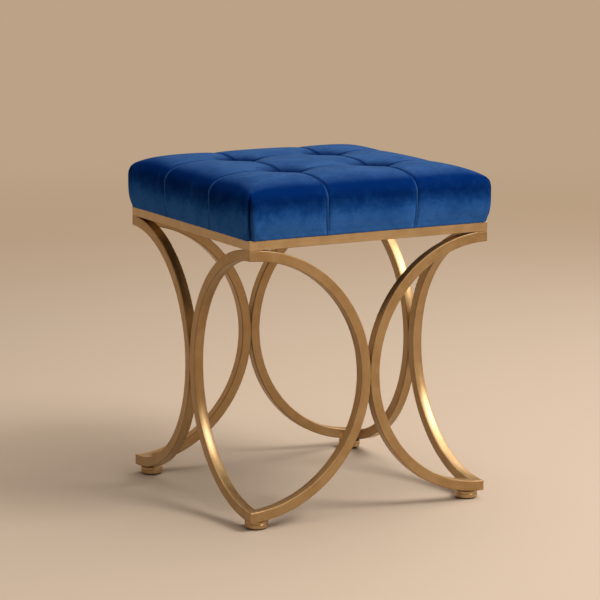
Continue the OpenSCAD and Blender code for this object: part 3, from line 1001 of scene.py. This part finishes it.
def build_dust_cover(staples):
    """Black cambric stretched under the board, sagging a little between its staples, its edge folded in."""
    low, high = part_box("dust_cover")
    half, slant = high.x, 2 * high.x - DUST_CUT
    at = np.linspace(-half, half, DUST_CELLS + 1)
    x, y = np.meshgrid(at, at)
    slide = np.maximum(abs(x) + abs(y) - slant, 0) / 2
    x, y = x - np.sign(x) * slide, y - np.sign(y) * slide
    edge = np.minimum(np.minimum(half - abs(x), half - abs(y)), (slant - abs(x) - abs(y)) / math.sqrt(2))
    sag = DUST_SAG * smooth_step(edge / DUST_SAG_W)
    waves = DUST_RIPPLE * np.sin(2 * math.pi * (x + y) / DUST_RIPPLE_STEP)
    ripple = waves * bell(edge - DUST_RIPPLE_AT, DUST_RIPPLE_W)
    fold = DUST_FOLD_T * (1 - smooth_step((edge - DUST_FOLD) / DUST_FOLD_STEP))
    z = low.z + DUST_LIFT - fold - sag + ripple * smooth_step(edge / DUST_RIPPLE_FROM)
    points = np.stack([x, y, z], -1).reshape(-1, 3)
    index = np.arange(len(points)).reshape(DUST_CELLS + 1, DUST_CELLS + 1)
    faces = np.stack([index[:-1, :-1], index[1:, :-1], index[1:, 1:], index[:-1, 1:]], -1).reshape(-1, 4)
    obj = finish_mesh("dust_sheet", points, faces, cambric())
    tidy_points(obj)
    thick = obj.modifiers.new("thickness", "SOLIDIFY")
    thick.thickness = DUST_T
    thick.offset = 0
    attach(obj, STOOL)
    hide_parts("dust_cover")


# Small shapes, each as its points and faces

def tube_faces(rings, around):
    """Faces of a closed tube whose points are given ring by ring."""
    faces = []
    for i in range(rings - 1):
        for j in range(around):
            k = (j + 1) % around
            faces.append((i * around + j, i * around + k, (i + 1) * around + k, (i + 1) * around + j))
    faces.append(tuple(range(around))[::-1])
    faces.append(tuple((rings - 1) * around + j for j in range(around)))
    return faces


def bar(centre, along, across, size):
    """A bar about its centre; its size is its length along, its width across and its height."""
    length, width, height = size
    up = Vector((0, 0, 1))
    points = []
    for h in (-0.5, 0.5):
        for u, v in ((-0.5, -0.5), (0.5, -0.5), (0.5, 0.5), (-0.5, 0.5)):
            spot = centre + along * (u * length) + across * (v * width) + up * (h * height)
            points.append(tuple(spot))
    return points, tube_faces(2, 4)


def joined(shapes):
    """Several shapes as one."""
    points, faces = [], []
    for more_points, more_faces in shapes:
        faces += [tuple(i + len(points) for i in face) for face in more_faces]
        points += more_points
    return points, faces


# The staples: how many there are, how far apart and from the edges, and how far one may stand askew
STAPLES_A_SIDE = 10
STAPLE_IN = 0.006
STAPLE_FROM_CUT = 0.010
STAPLE_CORNER_STEP = 0.028
STAPLE_TILT = 0.10

# Each has a crown just under the cloth and two legs that go up from its ends
STAPLE_DROP = 0.0004
STAPLE_CROWN = (0.0100, 0.0010, 0.0006)
STAPLE_LEG = (0.0008, 0.0009, 0.0014)
STAPLE_LEG_AT = 0.0046
STAPLE_LEG_UP = 0.0009
STAPLE_ROUND = 0.0002


def staple_places(half):
    """Where the staples are and which way each runs, along the four sides and the four cut corners."""
    places = []
    straight = half - DUST_CUT - STAPLE_FROM_CUT
    for side in range(4):
        c, s = quarter_turns(side)
        along, across = Vector((c, s, 0)), Vector((-s, c, 0))
        for i in range(STAPLES_A_SIDE):
            tilt = STAPLE_TILT * math.sin(5 * i + 3 * side)
            at = along * (straight * (2 * i / (STAPLES_A_SIDE - 1) - 1)) - across * (half - STAPLE_IN)
            places.append((at, (along + across * tilt).normalized()))
        slant, out = (along + across).normalized(), (along - across).normalized()
        middle = out * ((2 * half - DUST_CUT) / math.sqrt(2) - STAPLE_IN)
        for i in (-1, 0, 1):
            places.append((middle + slant * (STAPLE_CORNER_STEP * i), slant))
    return places


def build_staples():
    """Wire staples through the folded edge of the dust cover."""
    low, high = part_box("dust_cover")
    z = low.z - STAPLE_DROP
    bars = []
    for at, along in staple_places(high.x):
        across = Vector((-along.y, along.x, 0))
        bars.append(bar(Vector((at.x, at.y, z)), along, across, STAPLE_CROWN))
        for end in (-1, 1):
            foot = Vector((at.x, at.y, z + STAPLE_LEG_UP)) + along * (STAPLE_LEG_AT * end)
            bars.append(bar(foot, along, across, STAPLE_LEG))
    zinc_of_washers = nodes["bolt_washers"].data.materials[0]
    obj = finish_mesh("dust_cover_staples", *joined(bars), zinc_of_washers, smooth=0)
    rounded = obj.modifiers.new("rounded", "BEVEL")
    rounded.width = STAPLE_ROUND
    rounded.segments = 2
    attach(obj, STOOL)
    return obj


# A weld bead: its rings, its ripples, its blunt ends, and how far its flattened section stands out
BEAD_RINGS = 29
BEAD_AROUND = 10
BEAD_RIPPLES = 7
BEAD_RIPPLE = 0.16
BEAD_TAPER_POWER = 8
BEAD_END = 0.02
BEAD_FLAT = 0.8


def weld_bead(start, end, out, size):
    """A rippled bead laid from start to end in a corner that opens towards out."""
    run = Vector(end) - Vector(start)
    length, along = run.length, run.normalized()
    out = Vector(out).normalized()
    side = along.cross(out)
    points = []
    for i in range(BEAD_RINGS):
        t = i / (BEAD_RINGS - 1)
        ripple = 1 + BEAD_RIPPLE * abs(math.sin(math.pi * BEAD_RIPPLES * t))
        taper = math.sqrt(max(BEAD_END, 1 - (2 * t - 1) ** BEAD_TAPER_POWER))
        r = size * taper * ripple
        middle = Vector(start) + along * (length * t)
        for j in range(BEAD_AROUND):
            a = 2 * math.pi * j / BEAD_AROUND
            points.append(tuple(middle + out * (r * BEAD_FLAT * math.cos(a)) + side * (r * math.sin(a))))
    return points, tube_faces(BEAD_RINGS, BEAD_AROUND)


# Where rail and half ring are welded at a corner, the joint is filled flush
STRIP_START = 0.0016
STRIP_LENGTH = 0.0150
STRIP_TAIL = 0.0040
STRIP_TAIL_BACK = 0.0012
STRIP_TAIL_SHARE = 0.1
STRIP_SINK = 0.00005
STRIP_W = 0.0016
STRIP_H = 0.0046


def joint_strip(end):
    """A flush bar from the corner along the joint of rail and half ring, thinned out at its inner end."""
    points = []
    tail = STRIP_LENGTH + STRIP_TAIL
    for along, share, back in ((0, 1, 0), (STRIP_LENGTH, 1, 0), (tail, STRIP_TAIL_SHARE, STRIP_TAIL_BACK)):
        x = end * (HALF - STRIP_START - along)
        front = -HALF + STRIP_SINK + back
        for y, up in ((front, -1), (front, 1), (front + STRIP_W, 1), (front + STRIP_W, -1)):
            points.append((x, y, rail_low.z + up * share * STRIP_H / 2))
    faces = tube_faces(3, 4)
    return points, faces if end > 0 else [f[::-1] for f in faces]


# Beads stop short of the tube's faces; some lie where half rings meet, and some where they meet the rails
BEAD_INSET = 0.0022
MEET_BEAD_R = 0.0012
MEET_BEAD_OFF = WELD_FLAT + 0.0035
RAIL_BEAD_R = 0.0007
RAIL_BEAD_X = HALF - WELD_FLAT - 0.0030
RAIL_BEAD_DROP = 0.0002
RAIL_BEAD_SHORT = 0.002


def side_beads():
    """The beads of the front side: above and below where its half rings meet, and under its rail."""
    front, back = -HALF + BEAD_INSET, -HALF + TUBE - BEAD_INSET
    beads = []
    for way in (1, -1):
        z = RING_MID_Z + way * MEET_BEAD_OFF
        beads.append(weld_bead((0, front, z), (0, back, z), (0, 0, way), MEET_BEAD_R))
    for end in (-1, 1):
        x, z = end * RAIL_BEAD_X, rail_low.z - RAIL_BEAD_DROP
        beads.append(weld_bead((x, front + RAIL_BEAD_SHORT, z), (x, back, z), (-end, 0, 0), RAIL_BEAD_R))
    return beads


def build_welds():
    """Weld beads and joint strips, one piece a side."""
    welded = gold_plate("gold_weld", WELD_ROUGH)
    beads = side_beads()
    beaded = sum(len(faces) for points, faces in beads)
    points, faces = joined(beads + [joint_strip(-1), joint_strip(1)])
    for number, side in enumerate(SIDES):
        c, s = quarter_turns(number)
        turned = [(x * c - y * s, x * s + y * c, z) for x, y, z in points]
        obj = finish_mesh(f"weld_beads_{side}", turned, faces, welded, smooth=beaded)
        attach(obj, STOOL)


# The twine: its thickness, and how two threads of it are twisted
TWINE_R = 0.00055
TWIST_R = 0.0005
TWIST_TURNS = 11
TWIST_STEPS = 60

# A stitch lies just over the tuft's floor; its arms are turned by an angle, and rise a little
STITCH_OFF = 0.0006
STITCH_REACH = 0.0034
STITCH_TURN = 0.8
STITCH_RISE = 0.0006
STITCH_POINTS = (0.35, 0.7, 1.0)


def thread_path(low, phase):
    """One twisted thread from the height low up to the stitch, and out along its arm of it."""
    stitch_z = TUFT_FLOOR_Z + STITCH_OFF
    path = []
    for i in range(TWIST_STEPS + 1):
        t = i / TWIST_STEPS
        turn = phase + 2 * math.pi * TWIST_TURNS * t
        path.append((TWIST_R * math.cos(turn), TWIST_R * math.sin(turn), low + (stitch_z - low) * t))
    turn = phase + STITCH_TURN
    for t in STITCH_POINTS:
        reach = STITCH_REACH * t
        path.append((reach * math.cos(turn), reach * math.sin(turn), stitch_z + STITCH_RISE * t))
    return path


def build_ties():
    """Twisted twine from each washer up to a small crossed stitch at the bottom of its tuft."""
    curve = bpy.data.curves.new("tuft_stitches", "CURVE")
    curve.dimensions = "3D"
    curve.bevel_depth = TWINE_R
    curve.bevel_resolution = 3
    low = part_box("tuft_ties")[0].z
    for sx in (-1, 1):
        for sy in (-1, 1):
            for phase in (0, math.pi):
                path = thread_path(low, phase)
                spline = curve.splines.new("POLY")
                spline.points.add(len(path) - 1)
                for point, (x, y, z) in zip(spline.points, path):
                    point.co = (sx * SEAM_AT + x, sy * SEAM_AT + y, z, 1)
    curve.materials.append(twine())
    obj = placed("tuft_stitches", curve)
    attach(obj, STOOL)
    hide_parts("tuft_ties")


# The studio

def srgb(r, g, b):
    """Linear colour of a display colour in 0 to 255."""
    return tuple(((c / 255 + 0.055) / 1.055) ** 2.4 if c > 10 else c / 255 / 12.92 for c in (r, g, b))


# The floor: its colours, how far it comes forward and back, and the bend up into the backdrop
FLOOR = srgb(178, 161, 143)
BACKDROP = srgb(188, 162, 134)
FLOOR_NEAR = -7.0
FLOOR_FAR = 4.5
FLOOR_W = 16.0
BEND_R = 1.6
BEND_STEPS = 16
BACKDROP_H = 4.0

# The floor's colour turns into the backdrop's between these distances from the stool
FADE_START = 1.3
FADE_END = 4.2


def floor_points():
    """Pairs of points along the floor's profile, square to the camera's yaw, and up the backdrop."""
    profile = [(FLOOR_NEAR, 0.0)]
    for i in range(BEND_STEPS + 1):
        a = math.pi / 2 * i / BEND_STEPS
        profile.append((FLOOR_FAR + BEND_R * math.sin(a), BEND_R - BEND_R * math.cos(a)))
    profile.append((FLOOR_FAR + BEND_R, BACKDROP_H + BEND_R))
    c, s = math.cos(math.radians(CAMERA_YAW)), math.sin(math.radians(CAMERA_YAW))
    points = []
    for far, up in profile:
        for side in (-FLOOR_W / 2, FLOOR_W / 2):
            points.append((side * c + far * s, -side * s + far * c, up))
    return points


def floor_paint():
    """Matt paint; far off, camera and reflections see it glow in the backdrop's colour."""
    g = Graph("floor_paint", FLOOR)
    away = g.node("VectorMath", g.place, operation="LENGTH").outputs["Value"]
    rise = g.span(away, FADE_START, FADE_END)
    g.set(Base_Color=g.mix(rise, FLOOR, BACKDROP), Roughness=0.75, Specular_IOR_Level=0.25)
    rays = g.node("LightPath").outputs
    bounced = g.math("MAXIMUM", rays["Is Glossy Ray"], rays["Is Transmission Ray"])
    seen = g.math("MAXIMUM", rays["Is Camera Ray"], bounced)
    glow = g.node("Emission", (*BACKDROP, 1)).outputs[0]
    blend = g.node("MixShader", g.math("MULTIPLY", seen, rise), g.shader.outputs[0], glow)
    g.put(blend.outputs[0], g.output.inputs["Surface"])
    return g.material


def build_floor():
    """Plain floor that curves up into a backdrop."""
    points = floor_points()
    faces = [(i, i + 1, i + 3, i + 2) for i in range(0, len(points) - 2, 2)]
    floor = finish_mesh("floor", points, faces, floor_paint())


# The camera, as fitted to the photo
CAMERA_AT = (-1.7339, -3.1783, 0.9614)
CAMERA_YAW = 28.47
CAMERA_PITCH = -10.46
FOCAL_PX = 2390.9
IMAGE_PX = 600
SENSOR = 36.0


def build_camera():
    data = bpy.data.cameras.new("camera")
    data.sensor_width = SENSOR
    data.lens = SENSOR * FOCAL_PX / IMAGE_PX
    data.clip_start, data.clip_end = 0.1, 60
    camera = placed("camera", data)
    camera.location = CAMERA_AT
    camera.rotation_euler = (math.radians(90 + CAMERA_PITCH), 0, -math.radians(CAMERA_YAW))
    bpy.context.scene.camera = camera


# The lamps: where they aim, how far off they are, and the way towards each, its size, power and colour
LAMP_AIM = (0, 0, 0.3)
LAMP_DISTANCE = 3.2
KEY_TOWARDS = (0.63, -0.78, 1.0)
KEY_SIZE = 1.35
KEY_WATTS = 84
KEY_COLOUR = (1.0, 0.975, 0.945)
OVERHEAD_TOWARDS = (0.40, 0.0, 1.0)
OVERHEAD_SIZE = 4.8
OVERHEAD_WATTS = 132
OVERHEAD_COLOUR = (1.0, 0.95, 0.90)

# The room's own light, from all round
ROOM_COLOUR = (1.0, 0.94, 0.86, 1)
ROOM_STRENGTH = 0.38


def area_light(name, towards, size, watts, colour):
    data = bpy.data.lights.new(name, "AREA")
    data.shape = "DISK"
    data.size = size
    data.energy = watts
    data.color = colour
    light = placed(name, data)
    way = Vector(towards).normalized()
    light.location = Vector(LAMP_AIM) + way * LAMP_DISTANCE
    light.rotation_mode = "QUATERNION"
    light.rotation_quaternion = (-way).to_track_quat("-Z", "Y")


def build_room():
    """Light from all round; the camera and mirrors see the plain backdrop in its place."""
    world = bpy.data.worlds.new("studio")
    bpy.context.scene.world = world
    world.use_nodes = True
    tree = world.node_tree
    background = tree.nodes["Background"]
    background.inputs["Color"].default_value = ROOM_COLOUR
    background.inputs["Strength"].default_value = ROOM_STRENGTH
    plain = tree.nodes.new("ShaderNodeBackground")
    plain.inputs["Color"].default_value = (*BACKDROP, 1)
    rays = tree.nodes.new("ShaderNodeLightPath").outputs
    seen = tree.nodes.new("ShaderNodeMath")
    seen.operation = "MAXIMUM"
    tree.links.new(rays["Is Camera Ray"], seen.inputs[0])
    tree.links.new(rays["Is Glossy Ray"], seen.inputs[1])
    blend = tree.nodes.new("ShaderNodeMixShader")
    tree.links.new(seen.outputs[0], blend.inputs[0])
    tree.links.new(background.outputs[0], blend.inputs[1])
    tree.links.new(plain.outputs[0], blend.inputs[2])
    tree.links.new(blend.outputs[0], tree.nodes["World Output"].inputs["Surface"])


def build_light():
    area_light("key", KEY_TOWARDS, KEY_SIZE, KEY_WATTS, KEY_COLOUR)
    area_light("overhead", OVERHEAD_TOWARDS, OVERHEAD_SIZE, OVERHEAD_WATTS, OVERHEAD_COLOUR)
    build_room()


dress_frame()
build_cushion()
build_foam()
build_dust_cover(build_staples())
build_ties()
build_welds()
build_floor()
build_camera()
build_light()

bpy.context.scene.view_settings.view_transform = "Standard"
